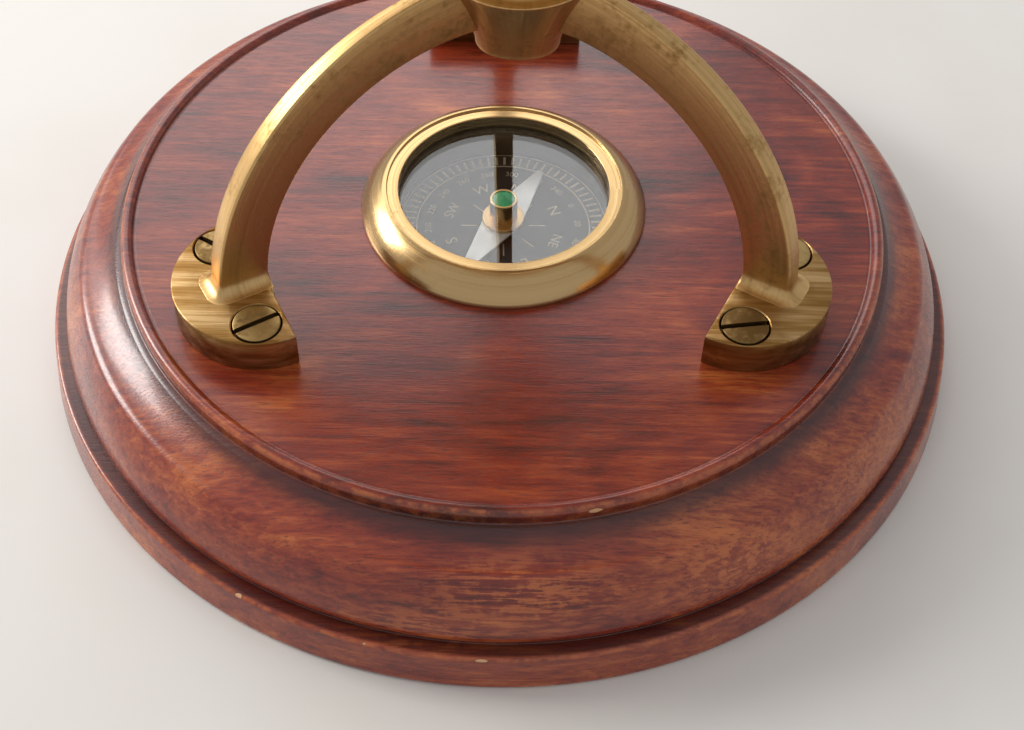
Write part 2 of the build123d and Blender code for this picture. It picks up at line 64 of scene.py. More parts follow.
def arc(start: tuple, via: tuple, end: tuple, steps: int = 24,
        shares: np.ndarray | None = None) -> np.ndarray:
    """Points on the circle through three points.

    The centre solves |c - start| = |c - via| = |c - end|, and the angle runs from start to end.

    Args:
        start: First point, as radius and height.
        via: A point between them.
        end: Last point.
        steps: How many even spans the arc has.
        shares: Shares of the arc from 0 to 1 at which the points lie instead.

    Returns:
        The points, start and end among them, as rows.
    """
    a, b, c = (np.array(p, float) for p in (start, via, end))
    side = 2 * np.array([b - a, c - a])
    centre = np.linalg.solve(side, [b @ b - a @ a, c @ c - a @ a])
    angles = [np.arctan2(*(p - centre)[::-1]) for p in (a, b, c)]
    middle = angles[0] + (angles[1] - angles[0] + np.pi) % TAU - np.pi
    last = middle + (angles[2] - middle + np.pi) % TAU - np.pi
    t = angles[0] + (last - angles[0]) * (np.linspace(0, 1, steps + 1) if shares is None else shares)
    return centre + np.linalg.norm(a - centre) * np.stack([np.cos(t), np.sin(t)], 1)


def softened(corners: list, steps: int = 4) -> np.ndarray:
    """A polyline whose corners are rounded.

    A corner with radius r and turn q starts r * tan(q / 2) before the corner and follows a quadratic
    curve through it, with one holding point just outside each end so that flats stay flat in shading.

    Args:
        corners: Rows of x, y and radius. A radius of 0 leaves the point as it is.
        steps: Spans in each rounded corner.

    Returns:
        The points as rows of x and y.
    """
    c = np.array(corners, float)
    parts = []
    for i, (x, y, r) in enumerate(c):
        here = np.array([x, y])
        if r <= 0 or i in (0, len(c) - 1):
            parts.append(here[None])
            continue
        back, ahead = c[i - 1, :2] - here, c[i + 1, :2] - here
        lengths = np.linalg.norm(back), np.linalg.norm(ahead)
        back, ahead = back / lengths[0], ahead / lengths[1]
        turn = np.pi - np.arccos(np.clip(back @ ahead, -1, 1))
        cut = min(r * np.tan(turn / 2), 0.45 * min(lengths))
        t = np.linspace(0, 1, steps + 1)[:, None]
        curve = here + cut * (back * (1 - t) ** 2 + ahead * t ** 2)
        parts += [(here + back * cut * 1.15)[None], curve, (here + ahead * cut * 1.15)[None]]
    return np.concatenate(parts)


@dataclass
class Sheet:
    """Gathers grids of points and makes them one mesh.

    Attributes:
        name: Name of the object it becomes.
    """

    name: str
    verts: list = field(default_factory=list)
    quads: list = field(default_factory=list)
    uvs: list = field(default_factory=list)
    count: int = 0

    def grid(self, points: np.ndarray, around: bool = False, flip: bool = False) -> None:
        """Adds a grid of points, joined by quads.

        The quad of cell (i, j) has the corners (i, j), (i + 1, j), (i + 1, j + 1) and (i, j + 1). Its
        UV is the distance along each direction, in metres.

        Args:
            points: Array of rows by columns by 3, in millimetres.
            around: Whether the last column joins the first.
            flip: Whether to turn the faces over.
        """
        rows, cols = points.shape[:2]
        i, j = np.meshgrid(np.arange(rows - 1), np.arange(cols - (not around)), indexing="ij")
        i2, j2 = (i + 1) % rows, (j + 1) % cols
        order = [i * cols + j, i2 * cols + j, i2 * cols + j2, i * cols + j2]
        steps_u = np.linalg.norm(np.roll(points, -1, 1) - points, axis=2).max(0)
        steps_v = np.linalg.norm(np.roll(points, -1, 0) - points, axis=2).max(1)
        u = np.concatenate([[0], np.cumsum(steps_u)]) * MM
        v = np.concatenate([[0], np.cumsum(steps_v)]) * MM
        uv = [np.stack([u[c], v[r]], -1) for r, c in ((i, j), (i + 1, j), (i + 1, j + 1), (i, j + 1))]
        if flip:
            order, uv = order[::-1], uv[::-1]
        self.quads.append(np.stack(order, -1).reshape(-1, 4) + self.count)
        self.uvs.append(np.stack(uv, 2).reshape(-1, 2))
        self.verts.append(points.reshape(-1, 3))
        self.count += rows * cols

    def polygons(self, points: np.ndarray, faces: np.ndarray) -> None:
        """Adds loose quads from points and their index rows, with a zero UV."""
        self.quads.append(faces + self.count)
        self.uvs.append(np.zeros((faces.size, 2)))
        self.verts.append(points)
        self.count += len(points)

    def made(self, smooth: bool = True, merge: float = 1e-4) -> bpy.types.Object:
        """Makes the object, in metres, with doubled points at seams and poles merged.

        Args:
            smooth: Whether its faces shade smoothly.
            merge: Distance in millimetres under which points are one.

        Returns:
            The new object, linked to the scene.
        """
        verts, quads = np.concatenate(self.verts), np.concatenate(self.quads)
        _, first, same = np.unique(np.round(verts / merge).astype(np.int64), axis=0,
                                   return_index=True, return_inverse=True)
        quads = same.reshape(-1)[quads]
        verts = verts[first] * MM
        uvs = np.concatenate(self.uvs).reshape(-1, 4, 2)
        keep = (quads != np.roll(quads, -1, 1))
        whole = keep.sum(1) >= 3
        quads, uvs, keep = quads[whole], uvs[whole], keep[whole]
        mesh = bpy.data.meshes.new(self.name)
        sizes = keep.sum(1)
        mesh.vertices.add(len(verts))
        mesh.vertices.foreach_set("co", verts.astype(np.float32).ravel())
        mesh.loops.add(int(sizes.sum()))
        mesh.loops.foreach_set("vertex_index", quads[keep].astype(np.int32))
        mesh.polygons.add(len(sizes))
        mesh.polygons.foreach_set("loop_start", np.concatenate([[0], np.cumsum(sizes)[:-1]]).astype(np.int32))
        mesh.polygons.foreach_set("use_smooth", np.full(len(sizes), smooth))
        layer = mesh.uv_layers.new(name="surface")
        layer.data.foreach_set("uv", uvs[keep].astype(np.float32).ravel())
        mesh.update(calc_edges=True)
        mesh.validate()
        obj = bpy.data.objects.new(self.name, mesh)
        bpy.context.scene.collection.objects.link(obj)
        return obj


def lathe(sheet: Sheet, profile: np.ndarray, segments: int = 192, place: np.ndarray | None = None) -> None:
    """Turns a profile about the vertical: (r cos a, r sin a, z).

    The faces point to the left of the profile's direction of travel seen with +Z up and r to the right,
    so a profile that runs counter-clockwise round its solid faces outwards.

    Args:
        sheet: Where the surface goes.
        profile: Rows of radius and height.
        segments: Facets round the axis.
        place: Placement of the turned surface.
    """
    a = np.linspace(0, TAU, segments, endpoint=False)
    r, z = profile[:, 0][:, None], profile[:, 1][:, None]
    points = np.stack([r * np.cos(a), r * np.sin(a), z + 0 * a], -1)
    points = placed(points.reshape(-1, 3), np.eye(4) if place is None else place).reshape(points.shape)
    sheet.grid(points, around=True, flip=True)


def plate(name: str, outline: np.ndarray, bottom: float, top: float, edge: float,
          place: np.ndarray) -> bpy.types.Object:
    """A flat plate with rounded edges, from a filled flat curve.

    Args:
        name: Name of the object.
        outline: Closed outline as rows of x and y in millimetres.
        bottom: Height of the underside.
        top: Height of the upper face.
        edge: Radius of the rounded edges.
        place: Placement of the plate, in millimetres.

    Returns:
        The plate as a mesh object.
    """
    curve = bpy.data.curves.new(name, "CURVE")
    curve.dimensions, curve.fill_mode = "2D", "BOTH"
    curve.extrude, curve.bevel_depth, curve.bevel_resolution = (top - bottom) / 2 - edge, edge, 2
    curve.offset = -edge
    count = len(outline)
    line = curve.splines.new("POLY")
    line.points.add(count - 1)
    line.points.foreach_set("co", np.column_stack([outline, np.zeros(count), np.ones(count)]).ravel())
    line.use_cyclic_u = True
    return meshed(curve, name, place @ move_by(0, 0, (top + bottom) / 2))


def meshed(curve: bpy.types.Curve, name: str, place: np.ndarray) -> bpy.types.Object:
    """Makes a curve or text a mesh in metres, with its place in the mesh."""
    holder = bpy.data.objects.new(name, curve)
    bpy.context.scene.collection.objects.link(holder)
    bpy.context.view_layer.update()
    mesh = bpy.data.meshes.new_from_object(holder.evaluated_get(bpy.context.evaluated_depsgraph_get()))
    bpy.data.objects.remove(holder)
    mesh.name = name
    mesh.transform(Matrix(place))
    mesh.transform(Matrix.Scale(MM, 4))
    obj = bpy.data.objects.new(name, mesh)
    bpy.context.scene.collection.objects.link(obj)
    return obj


def joined(name: str, parts: list) -> bpy.types.Object:
    """Joins objects into one object of that name."""
    bpy.ops.object.select_all(action="DESELECT")
    for part in parts:
        part.select_set(True)
    bpy.context.view_layer.objects.active = parts[0]
    bpy.ops.object.join()
    parts[0].name = parts[0].data.name = name
    return parts[0]


def cut_away(obj: bpy.types.Object, tools: list) -> bpy.types.Object:
    """Cuts closed tool shapes out of a closed shape, then removes the tools."""
    for tool in tools:
        step = obj.modifiers.new("cut", "BOOLEAN")
        step.operation, step.object, step.solver = "DIFFERENCE", tool, "EXACT"
    bpy.context.view_layer.update()
    mesh = bpy.data.meshes.new_from_object(obj.evaluated_get(bpy.context.evaluated_depsgraph_get()))
    obj.modifiers.clear()
    obj.data = mesh
    for tool in tools:
        bpy.data.objects.remove(tool)
    return obj


def crisp(obj: bpy.types.Object, degrees: float = 32) -> bpy.types.Object:
    """Shades smoothly, except across edges that turn by more than an angle."""
    obj.data.polygons.foreach_set("use_smooth", np.ones(len(obj.data.polygons), bool))
    obj.data.set_sharp_from_angle(angle=np.radians(degrees))
    return obj


def lettering(name: str, words: list) -> bpy.types.Object:
    """Flat letters and numbers joined into one mesh.

    Args:
        name: Name of the object.
        words: Tuples of text, height in millimetres and placement. Text is centred on its placement.

    Returns:
        The joined letters.
    """
    parts = []
    for text, size, place in words:
        curve = bpy.data.curves.new(name, "FONT")
        curve.body, curve.size, curve.resolution_u = text, size * 1.4, 3
        curve.align_x, curve.align_y = "CENTER", "CENTER"
        parts.append(meshed(curve, name, place))
    return joined(name, parts)


# Finishes

@dataclass
class Nodes:
    """A short way to write a material's nodes.

    Attributes:
        material: The material that is being made.
    """

    material: bpy.types.Material

    @classmethod
    def new(cls, name: str) -> "Nodes":
        """Starts an empty material of that name."""
        material = bpy.data.materials.new(name)
        material.use_nodes = True
        material.node_tree.nodes.clear()
        return cls(material)

    def node(self, kind: str, **settings: object) -> bpy.types.Node:
        """Adds a node and sets its properties."""
        made = self.material.node_tree.nodes.new("ShaderNode" + kind)
        for key, value in settings.items():
            setattr(made, key, value)
        return made

    def feed(self, socket: Socket, value: object) -> None:
        """Links a socket to another, or sets its constant."""
        if isinstance(value, bpy.types.NodeSocket):
            self.material.node_tree.links.new(value, socket)
        else:
            socket.default_value = value

    def place(self) -> Socket:
        """The object's own coordinates, in metres."""
        return self.node("TexCoord").outputs["Object"]

    def surface(self) -> Socket:
        """The piece's own UV: metres round it and metres across it."""
        return self.node("UVMap", uv_map="surface").outputs["UV"]

    def mapped(self, vector: Socket, scale: tuple, turn: tuple = (0, 0, 0),
               shift: tuple = (0, 0, 0)) -> Socket:
        """The coordinates after a scale, a turn in degrees and a shift."""
        made = self.node("Mapping")
        self.feed(made.inputs["Vector"], vector)
        made.inputs["Scale"].default_value = scale
        made.inputs["Rotation"].default_value = tuple(np.radians(turn))
        made.inputs["Location"].default_value = shift
        return made.outputs["Vector"]

    def noise(self, vector: Socket, scale: float = 1, detail: float = 3, rough: float = 0.5,
              bend: float = 0) -> Socket:
        """Smooth noise from 0 to 1."""
        made = self.node("TexNoise")
        self.feed(made.inputs["Vector"], vector)
        for key, value in (("Scale", scale), ("Detail", detail), ("Roughness", rough), ("Distortion", bend)):
            made.inputs[key].default_value = value
        return made.outputs["Fac"]

    def maths(self, operation: str, a: object, b: object = 0.0) -> Socket:
        """One sum on two numbers."""
        made = self.node("Math", operation=operation)
        self.feed(made.inputs[0], a)
        self.feed(made.inputs[1], b)
        return made.outputs[0]

    def between(self, value: Socket, low: float, high: float, out: tuple = (0.0, 1.0)) -> Socket:
        """A smooth step from out[0] at low to out[1] at high."""
        made = self.node("MapRange", interpolation_type="SMOOTHSTEP")
        self.feed(made.inputs["Value"], value)
        for key, number in (("From Min", low), ("From Max", high), ("To Min", out[0]), ("To Max", out[1])):
            made.inputs[key].default_value = number
        return made.outputs["Result"]

    def bump_at(self, value: Socket, middle: float, half: float) -> Socket:
        """1 where the value is at the middle, falling smoothly to 0 at half a width either side."""
        away = self.maths("ABSOLUTE", self.maths("SUBTRACT", value, middle))
        return self.between(away, half, 0.0)

    def ramp(self, value: Socket, stops: list) -> Socket:
        """A colour ramp through (position, colour) stops."""
        made = self.node("ValToRGB")
        self.feed(made.inputs["Fac"], value)
        steps = made.color_ramp.elements
        while len(steps) < len(stops):
            steps.new(0.5)
        for step, (position, colour) in zip(steps, stops):
            step.position, step.color = position, (*colour, 1)
        return made.outputs["Color"]

    def mix(self, share: object, a: object, b: object, blend: str = "MIX") -> Socket:
        """Mixes two colours by a share."""
        made = self.node("Mix", data_type="RGBA", blend_type=blend)
        self.feed(made.inputs[0], share)
        for socket, colour in ((made.inputs[6], a), (made.inputs[7], b)):
            self.feed(socket, (*colour, 1) if isinstance(colour, tuple) else colour)
        return made.outputs[2]

    def relief(self, height: Socket, depth: float, under: Socket | None = None) -> Socket:
        """A bumped normal: height from 0 to 1 stands for the depth, in metres."""
        made = self.node("Bump")
        made.inputs["Distance"].default_value = depth
        made.inputs["Strength"].default_value = 1.0
        self.feed(made.inputs["Height"], height)
        if under is not None:
            self.feed(made.inputs["Normal"], under)
        return made.outputs["Normal"]

    def shader(self, colour: object, **settings: object) -> bpy.types.Material:
        """Closes the material with a Principled shader. Constants stay on its own sockets.

        Args:
            colour: Base colour, as a socket or three numbers.
            settings: Other inputs by name, with spaces written as underscores.

        Returns:
            The finished material.
        """
        made = self.node("BsdfPrincipled")
        self.feed(made.inputs["Base Color"], (*colour, 1) if isinstance(colour, tuple) else colour)
        for key, value in settings.items():
            self.feed(made.inputs[key.replace("_", " ")], value)
        out = self.node("OutputMaterial")
        self.material.node_tree.links.new(made.outputs["BSDF"], out.inputs["Surface"])
        return self.material


class Marks(Enum):
    """Which way the tool marks run on a metal piece."""

    ROUND = (6.0, 1800.0, 1.0)
    ACROSS = (1500.0, 14.0, 1.0)
    NONE = (60.0, 60.0, 60.0)


@dataclass(frozen=True)
class Brass:
    """Brass with tool marks and brown tarnish.

    Attributes:
        name: Name of the material.
        marks: Which way the fine marks run.
        polish: Roughness where it is cleanest.
        tarnish: Share of the surface that has browned.
        lit: Colour of the clean metal.
        dark: Colour of the tarnish.
        depth: Depth of the tool marks, in metres.
    """

    name: str
    marks: Marks = Marks.ROUND
    polish: float = 0.26
    tarnish: float = 0.45
    lit: tuple = (0.62, 0.40, 0.17)
    dark: tuple = (0.25, 0.125, 0.03)
    depth: float = 0.00002

    def made(self) -> bpy.types.Material:
        """Builds the material: streaks along the marks, cloudy tarnish and small spots."""
        n = Nodes.new(self.name)
        place, surface = n.place(), n.surface()
        lines = n.noise(n.mapped(surface, self.marks.value), 1, 4, 0.65)
        bands = n.noise(n.mapped(surface, tuple(0.16 * v for v in self.marks.value)), 1, 3, 0.55)
        clouds = n.noise(place, 95, 5, 0.62, 0.4)
        spots = n.noise(place, 900, 3, 0.6)
        amount = n.maths("ADD", n.maths("MULTIPLY", clouds, 0.62), n.maths("MULTIPLY", spots, 0.38))
        browned = n.between(amount, 0.72 - self.tarnish * 0.4, 0.92 - self.tarnish * 0.4)
        colour = n.mix(n.maths("MULTIPLY", browned, 0.8), self.lit, self.dark)
        colour = n.mix(n.between(lines, 0.42, 0.75, (0.0, 0.34)), colour, self.dark)
        colour = n.mix(n.between(bands, 0.5, 0.7, (0.0, 0.3)), colour, self.dark)
        rough = n.maths("ADD", n.between(lines, 0.3, 0.7, (self.polish, self.polish + 0.14)),
                        n.maths("MULTIPLY", browned, 0.16))
        height = n.maths("ADD", n.maths("ADD", lines, n.maths("MULTIPLY", spots, 0.35)), bands)
        return n.shader(colour, Metallic=1.0, Roughness=rough, Normal=n.relief(height, self.depth))


@dataclass(frozen=True)
class Milled:
    """Brass with straight cutter marks: broad bands across the foot, dark and light in turn.

    Attributes:
        name: Name of the material.
        heading: Direction of the bands in degrees.
    """

    name: str = "milled_brass"
    heading: float = 24.0
    lit: tuple = (0.56, 0.37, 0.17)
    dark: tuple = (0.19, 0.085, 0.018)

    def made(self) -> bpy.types.Material:
        """Builds the material from long thin noise in the cutter's direction."""
        n = Nodes.new(self.name)
        place = n.place()
        bands = n.noise(n.mapped(place, (25, 430, 430), (0, 0, -self.heading)), 1, 3, 0.6)
        lines = n.noise(n.mapped(place, (60, 4200, 4200), (0, 0, -self.heading)), 1, 3, 0.6)
        clouds = n.noise(place, 150, 4, 0.6)
        colour = n.ramp(bands, [(0.36, self.dark), (0.52, (0.34, 0.19, 0.06)), (0.66, self.lit)])
        colour = n.mix(n.between(lines, 0.45, 0.7, (0.0, 0.45)), colour, self.dark)
        colour = n.mix(n.between(clouds, 0.5, 0.7, (0.0, 0.4)), colour, self.dark)
        rough = n.between(lines, 0.3, 0.7, (0.3, 0.46))
        height = n.maths("ADD", lines, n.maths("MULTIPLY", bands, 1.5))
        return n.shader(colour, Metallic=1.0, Roughness=rough, Normal=n.relief(height, 0.00003))


@dataclass(frozen=True)
class VarnishedWood:
    """Reddish-brown stained hardwood under a gloss varnish, worn to orange on its high edges.

    Attributes:
        bead_radius: Radius of the raised bead at the edge of the flat top.
        cove_radius: Radius where the hollow meets the bead.
        arris_radius: Radius of the lowest edge.
        arris_height: Height of the lowest edge.
    """

    bead_radius: float
    cove_radius: float
    arris_radius: float
    arris_height: float
    deep: tuple = (0.05, 0.004, 0.002)
    red: tuple = (0.19, 0.016, 0.006)
    brown: tuple = (0.3, 0.045, 0.012)
    orange: tuple = (0.5, 0.13, 0.03)
    bare: tuple = (0.66, 0.36, 0.17)
    grain: float = -16.0

    def made(self) -> bpy.types.Material:
        """Builds the material from the grain, the stain's clouds, a painted reflection on the moulding,
        painted shade in the hollow and on the step, the mouldings' wear and the chips.
        """
        n = Nodes.new("varnished_wood")
        place = n.place()
        turn = (0, 0, self.grain)
        streaks = n.noise(n.mapped(place, (55, 620, 620), turn), 1, 5, 0.62, 0.6)
        pores = n.noise(n.mapped(place, (330, 3600, 3600), turn), 1, 3, 0.62)
        fibres = n.noise(n.mapped(place, (90, 1700, 1700), turn), 1, 4, 0.6, 0.3)
        clouds = n.noise(n.mapped(place, (30, 52, 52), turn), 1, 4, 0.55, 1.0)
        split = n.node("SeparateXYZ")
        n.feed(split.inputs[0], place)
        x, y, z = split.outputs
        radius = n.maths("SQRT", n.maths("ADD", n.maths("MULTIPLY", x, x), n.maths("MULTIPLY", y, y)))
        side = n.between(radius, 0.0605, 0.0635)
        stain = n.maths("ADD", n.maths("MULTIPLY", streaks, 0.36), n.maths("MULTIPLY", clouds, 0.44))
        stain = n.maths("ADD", stain, n.maths("MULTIPLY", fibres, 0.2))
        # Painted reflection: the moulding outside the bead is shifted a little lighter and more orange,
        # standing for the bright floor that it reflects.
        stain = n.maths("ADD", stain, n.maths("MULTIPLY", side, 0.045))
        colour = n.ramp(stain, [(0.38, self.deep), (0.49, self.red), (0.57, self.brown), (0.68, self.orange)])
        colour = n.mix(n.between(pores, 0.52, 0.68, (0.0, 0.62)), colour, self.deep)
        # Painted shade: the hollow under the bead and the flat step under the bulge are darkened towards
        # near-black red, standing for the shade that falls in them.
        hollow = n.maths("MULTIPLY", n.bump_at(radius, self.cove_radius * MM, 0.0028),
                         n.between(z, 0.0224, 0.0216))
        step = n.maths("MULTIPLY", n.between(radius, 0.0737, 0.0731), n.bump_at(z, 0.0068, 0.0012))
        dark = n.maths("MAXIMUM", hollow, n.maths("MULTIPLY", step, side))
        colour = n.mix(n.maths("MULTIPLY", dark, 0.8), colour, (0.03, 0.002, 0.0012))
        worn = n.noise(place, 420, 4, 0.7)
        edges = n.maths("MAXIMUM", n.bump_at(radius, (self.bead_radius - 0.3) * MM, 0.0005),
                        n.maths("MULTIPLY", n.bump_at(radius, (self.arris_radius - 0.1) * MM, 0.0005),
                                n.bump_at(z, (self.arris_height - 0.2) * MM, 0.0006)))
        edges = n.maths("MULTIPLY", edges, n.between(worn, 0.4, 0.62, (0.1, 0.75)))
        colour = n.mix(edges, colour, self.orange)
        rubbed = n.maths("ADD", n.maths("MULTIPLY", fibres, 0.6), n.maths("MULTIPLY", worn, 0.4))
        rubbed = n.between(rubbed, 0.47, 0.56)
        for spot, reach, strength in self.scuffs():
            near = n.between(self.away(n, place, spot), reach, 0.0)
            share = n.maths("MULTIPLY", n.maths("MULTIPLY", near, rubbed), strength)
            colour = n.mix(share, colour, self.orange)
        chips = None
        for spot, reach in self.chips():
            ragged = n.maths("ADD", self.away(n, place, spot), n.maths("MULTIPLY", worn, 0.9))
            chip = n.between(ragged, reach + 0.5, reach + 0.38)
            chips = chip if chips is None else n.maths("MAXIMUM", chips, chip)
        colour = n.mix(chips, colour, self.bare)
        rough = n.maths("ADD", n.between(pores, 0.4, 0.75, (0.26, 0.4)), n.maths("MULTIPLY", chips, 0.35))
        height = n.maths("SUBTRACT", n.maths("MULTIPLY", n.noise(place, 700, 2, 0.5), 0.35), pores)
        normal = n.relief(height, 0.000035)
        normal = n.relief(n.maths("MULTIPLY", chips, -1.0), 0.0002, normal)
        return n.shader(colour, Roughness=rough, Normal=normal, Coat_Weight=0.35, Coat_Roughness=0.14)

    @staticmethod
    def away(n: Nodes, place: Socket, spot: tuple) -> Socket:
        """Distance from a spot, in spot radii: the length of (place - centre) / radii."""
        centre, radii = np.array(spot[:3]), np.array(spot[3:])
        scale = tuple(1 / (radii * MM))
        shift = tuple(-centre / radii)
        made = n.node("VectorMath", operation="LENGTH")
        n.feed(made.inputs[0], n.mapped(place, scale, shift=shift))
        return made.outputs["Value"]

    @staticmethod
    def scuffs() -> list:
        """Rubbed areas: centre and radii in millimetres, reach in radii, strength."""
        return [((4, -68, 15, 17, 6, 6), 1.3, 0.9), ((32, -60, 14, 15, 10, 7), 1.3, 0.85),
                ((52, -44, 14, 12, 14, 7), 1.2, 0.6), ((-8, -71, 10, 22, 5, 5), 1.1, 0.6)]

    @staticmethod
    def chips() -> list:
        """Chips down to bare wood: centre and radii in millimetres, reach in radii."""
        return [((13.4, -59.3, 22.2, 3.4, 0.6, 0.8), 0.5), ((-1.7, -73.9, 6.3, 1.6, 0.5, 0.5), 0.5),
                ((-36.5, -64.2, 6.3, 1.4, 0.7, 0.5), 0.5), ((-18, -71.5, 6.3, 0.9, 0.5, 0.5), 0.5),
                ((46, -57.5, 6.3, 1.0, 0.7, 0.5), 0.4), ((-74, -2, 6.0, 0.6, 0.9, 0.5), 0.4)]


@dataclass(frozen=True)
class Plain:
    """A painted, printed, enamelled or cloth surface with fine mottling.

    Attributes:
        name: Name of the material.
        colour: Its main colour.
        second: The colour that it is mottled with.
        rough: Roughness.
        metal: Metallic share.
        grain: Scale of the mottling, in features per metre.
        depth: Depth of its relief, in metres.
    """

    name: str
    colour: tuple
    second: tuple
    rough: float = 0.5
    metal: float = 0.0
    grain: float = 800
    depth: float = 0.00001

    def made(self) -> bpy.types.Material:
        """Builds the material from two colours mixed by noise, with a little relief."""
        n = Nodes.new(self.name)
        mottle = n.noise(n.place(), self.grain, 4, 0.6)
        colour = n.mix(n.between(mottle, 0.35, 0.65), self.colour, self.second)
        rough = n.between(mottle, 0.3, 0.7, (self.rough, min(1.0, self.rough + 0.12)))
        return n.shader(colour, Metallic=self.metal, Roughness=rough, Normal=n.relief(mottle, self.depth))


@dataclass(frozen=True)
class ClearGlass:
    """Thin clear glass with a faint film of dust."""

    name: str = "clear_glass"

    def made(self) -> bpy.types.Material:
        """Builds the material: clear, with roughness that varies a little."""
        n = Nodes.new(self.name)
        film = n.noise(n.place(), 160, 4, 0.6)
        material = n.shader((0.97, 0.98, 0.98), Roughness=n.between(film, 0.45, 0.8, (0.0, 0.05)),
                            Transmission_Weight=1.0, IOR=1.5)
        return material


@dataclass
class Finishes:
    """Every material of the object, each made once."""

    wood: bpy.types.Material = None
    felt: bpy.types.Material = None
    cast: bpy.types.Material = None
    milled: bpy.types.Material = None
    turned: bpy.types.Material = None
    polished: bpy.types.Material = None
    filed: bpy.types.Material = None
    screw: bpy.types.Material = None
    slot_dirt: bpy.types.Material = None
    dial: bpy.types.Material = None
    print: bpy.types.Material = None
    needle: bpy.types.Material = None
    enamel: bpy.types.Material = None
    glass: bpy.types.Material = None
    spring: bpy.types.Material = None

    def build(self, wood: VarnishedWood) -> "Finishes":
        """Makes the materials and returns the finished set."""
        self.wood = wood.made()
        self.felt = Plain("felt", (0.012, 0.04, 0.02), (0.02, 0.06, 0.03), 0.95, 0.0, 2500, 0.0001).made()
        self.cast = Brass("antique_brass", Marks.ACROSS, 0.3, 0.6).made()
        self.milled = Milled().made()
        self.turned = Brass("turned_brass", Marks.ROUND, 0.26, 0.45).made()
        self.polished = Brass("polished_brass", Marks.ROUND, 0.16, 0.4, (0.56, 0.38, 0.18),
                              (0.36, 0.19, 0.05), 0.000008).made()
        self.filed = Brass("filed_brass", Marks.ACROSS, 0.3, 0.55).made()
        self.screw = Brass("screw_brass", Marks.NONE, 0.32, 0.8, (0.42, 0.29, 0.12),
                           (0.13, 0.065, 0.018)).made()
        # Painted shade: near black, for the dark deep in the screw slots.
        self.slot_dirt = Plain("slot_dirt", (0.006, 0.004, 0.003), (0.02, 0.012, 0.006), 0.9).made()
        self.dial = Plain("dial_black", (0.012, 0.013, 0.014), (0.02, 0.02, 0.02), 0.6).made()
        self.print = Plain("dial_print", (0.8, 0.68, 0.48), (0.62, 0.52, 0.36), 0.5).made()
        self.needle = Plain("needle_metal", (0.8, 0.79, 0.75), (0.7, 0.7, 0.67), 0.32, 0.4, 400,
                            0.000004).made()
        self.enamel = Plain("green_enamel", (0.02, 0.42, 0.13), (0.03, 0.5, 0.18), 0.2, 0.0, 1200).made()
        self.glass = ClearGlass().made()
        self.spring = Plain("spring_steel", (0.3, 0.28, 0.25), (0.2, 0.18, 0.15), 0.45, 1.0).made()
        return self


def dressed(piece: bpy.types.Object, material: bpy.types.Material, body: str,
            nodes: tuple = ()) -> bpy.types.Object:
    """Gives a piece its material, its body and the CAD nodes that it stands for, and reports it."""
    piece.data.materials.clear()
    piece.data.materials.append(material)
    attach(piece, body)
    if nodes:
        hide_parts(*nodes)
    log.info("%s: %d faces on %s", piece.name, len(piece.data.polygons), body)
    return piece


def paint_node(node: str, material: bpy.types.Material) -> None:
    """Gives a CAD node that stays in view its material."""
    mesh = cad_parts[node].data
    mesh.materials.clear()
    mesh.materials.append(material)
    log.info("%s: CAD node painted", node)


# Sub-assemblies

@dataclass
class WoodenBase:
    """The turned base and its felt, in millimetres."""

    floor_radius: float = 75.0
    arris_radius: float = 74.0
    arris_height: float = 6.6
    bulge_radius: float = 71.8
    bulge_height: float = 8.0
    bulge_via: tuple = (70.8, 12.3)
    crest_radius: float = 68.5
    crest_height: float = 16.4
    crest_via: tuple = (67.8, 17.2)
    crest_end: tuple = (66.6, 17.7)
    hollow_via: tuple = (64.1, 18.8)
    cove_radius: float = 61.8
    cove_height: float = 20.5
    bead_radius: float = 60.8
    bead_width: float = 1.9
    top_height: float = 22.5
    bowl_radius: float = 18.5
    bowl_floor: float = 15.0
    felt_radius: float = 69.0
    felt_thickness: float = 1.0
    segments: int = 360

    def profile(self) -> np.ndarray:
        """The outline of half a section, from the axis below, out, up and back to the axis above.

        The bulge, the crest, the hollow and the bead are circle arcs; the corners are rounded.
        """
        top, bead = self.top_height, self.bead_radius
        inner = bead - self.bead_width
        lower = softened([(0, self.felt_thickness, 0), (self.felt_radius, self.felt_thickness, 0.1),
                          (self.felt_radius, 0, 0.2), (self.floor_radius - 0.15, 0, 0.7),
                          (self.arris_radius, self.arris_height, 0.75),
                          (self.bulge_radius - 0.5, self.arris_height, 0.15),
                          (self.bulge_radius, self.bulge_height, 0)], 5)
        crest_start = self.crest_radius, self.crest_height
        bulge = arc((self.bulge_radius, self.bulge_height), self.bulge_via, crest_start, 16)
        crest = arc(crest_start, self.crest_via, self.crest_end, 8)
        hollow = arc(self.crest_end, self.hollow_via, (self.cove_radius, self.cove_height), 16)
        foot = softened([(self.cove_radius, self.cove_height, 0), (bead, self.cove_height + 0.2, 0.25),
                         (bead, top - 0.5, 0)], 4)
        crown = arc((bead, top - 0.5), (bead - self.bead_width / 2, top + 0.7), (inner, top - 0.2), 12)
        flat = softened([(inner, top - 0.2, 0), (inner - 0.5, top, 0.2), (self.bowl_radius, top, 0.1),
                         (self.bowl_radius, self.bowl_floor, 0.1), (0, self.bowl_floor, 0)], 3)
        return np.concatenate([lower, bulge[1:], crest[1:], hollow[1:], foot[1:], crown[1:], flat[1:]])

    def build(self, finish: Finishes) -> None:
        """Makes the base and paints the felt."""
        sheet = Sheet("wooden_base")
        lathe(sheet, self.profile(), self.segments)
        dressed(sheet.made(), finish.wood, "base", ("base_moulding",))
        paint_node("base_felt", finish.felt)


